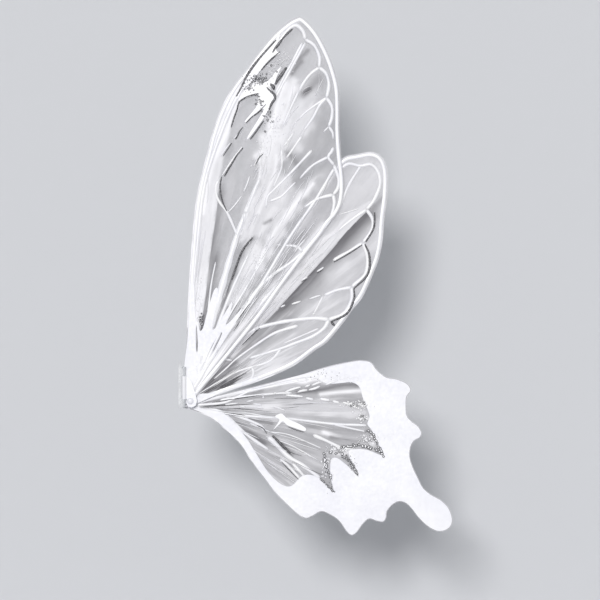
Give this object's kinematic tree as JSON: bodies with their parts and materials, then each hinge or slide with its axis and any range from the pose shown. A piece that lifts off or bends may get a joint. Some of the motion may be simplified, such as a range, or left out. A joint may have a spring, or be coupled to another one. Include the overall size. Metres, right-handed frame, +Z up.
{
  "type": "costume fairy wings",
  "caption": "Pair of film and wire fairy wings that hinge open from a slotted back plate, with fore and hind panels that fan on a pivot.",
  "frame": {"origin": "centre of the back plate's flat face, which lies against the wearer's back", "axes": "+Z up, +X away from the wearer's back along the folded wings, +Y towards the wearer's right wing"},
  "size_m": [0.37, 0.086, 0.701],
  "materials": {
    "frame": "satin white coated wire",
    "border": "opaque white sheet",
    "film": "clear to frosted film",
    "painted": "satin white",
    "nylon": "white nylon",
    "clear": "clear polycarbonate",
    "steel": "plated"
  },
  "bodies": {
    "back_plate": {"back_plate": "clear", "left_hinge_pin": "steel", "right_hinge_pin": "steel"},
    "left_fore_wing": {"left_fore_root_tab": "painted", "left_fore_frame": "frame", "left_fore_ribs": "frame", "left_fore_outer_film": "film", "left_fore_inner_film": "film"},
    "left_hind_wing": {"left_hind_root_tab": "painted", "left_hind_frame": "frame", "left_hind_ribs": "frame", "left_hind_outer_film": "film", "left_hind_inner_film": "film", "left_hind_border": "border"},
    "left_middle_wing": {"left_hinge_leaf": "painted", "left_pivot_stud": "painted", "left_lock_nut": "steel", "left_outer_washer": "nylon", "left_fore_washer": "nylon", "left_middle_washer": "nylon", "left_inner_washer": "nylon", "left_middle_root_tab": "painted", "left_middle_frame": "frame", "left_middle_ribs": "frame", "left_middle_outer_film": "film", "left_middle_inner_film": "film"},
    "right_fore_wing": {"right_fore_root_tab": "painted", "right_fore_frame": "frame", "right_fore_ribs": "frame", "right_fore_outer_film": "film", "right_fore_inner_film": "film"},
    "right_hind_wing": {"right_hind_root_tab": "painted", "right_hind_frame": "frame", "right_hind_ribs": "frame", "right_hind_outer_film": "film", "right_hind_inner_film": "film", "right_hind_border": "border"},
    "right_middle_wing": {"right_hinge_leaf": "painted", "right_pivot_stud": "painted", "right_lock_nut": "steel", "right_outer_washer": "nylon", "right_fore_washer": "nylon", "right_middle_washer": "nylon", "right_inner_washer": "nylon", "right_middle_root_tab": "painted", "right_middle_frame": "frame", "right_middle_ribs": "frame", "right_middle_outer_film": "film", "right_middle_inner_film": "film"}
  },
  "joints": [
    {"name": "left_wing_open", "type": "hinge", "parent": "back_plate", "child": "left_middle_wing", "pos_m": [0.0075, -0.0265, -0.003], "axis": [0, 0, -1], "range_deg": [0, 85]},
    {"name": "left_fore_fan", "type": "hinge", "parent": "left_middle_wing", "child": "left_fore_wing", "pos_m": [0.016, -0.019, -0.021], "axis": [0, 1, 0], "range_deg": [0, 40]},
    {"name": "left_hind_fan", "type": "hinge", "parent": "left_middle_wing", "child": "left_hind_wing", "pos_m": [0.016, -0.007, -0.021], "axis": [0, -1, 0], "range_deg": [0, 50]},
    {"name": "right_wing_open", "type": "hinge", "parent": "back_plate", "child": "right_middle_wing", "pos_m": [0.0075, 0.0265, -0.003], "axis": [0, 0, 1], "range_deg": [0, 85]},
    {"name": "right_fore_fan", "type": "hinge", "parent": "right_middle_wing", "child": "right_fore_wing", "pos_m": [0.016, 0.019, -0.021], "axis": [0, 1, 0], "range_deg": [0, 40]},
    {"name": "right_hind_fan", "type": "hinge", "parent": "right_middle_wing", "child": "right_hind_wing", "pos_m": [0.016, 0.007, -0.021], "axis": [0, -1, 0], "range_deg": [0, 50]}
  ]
}
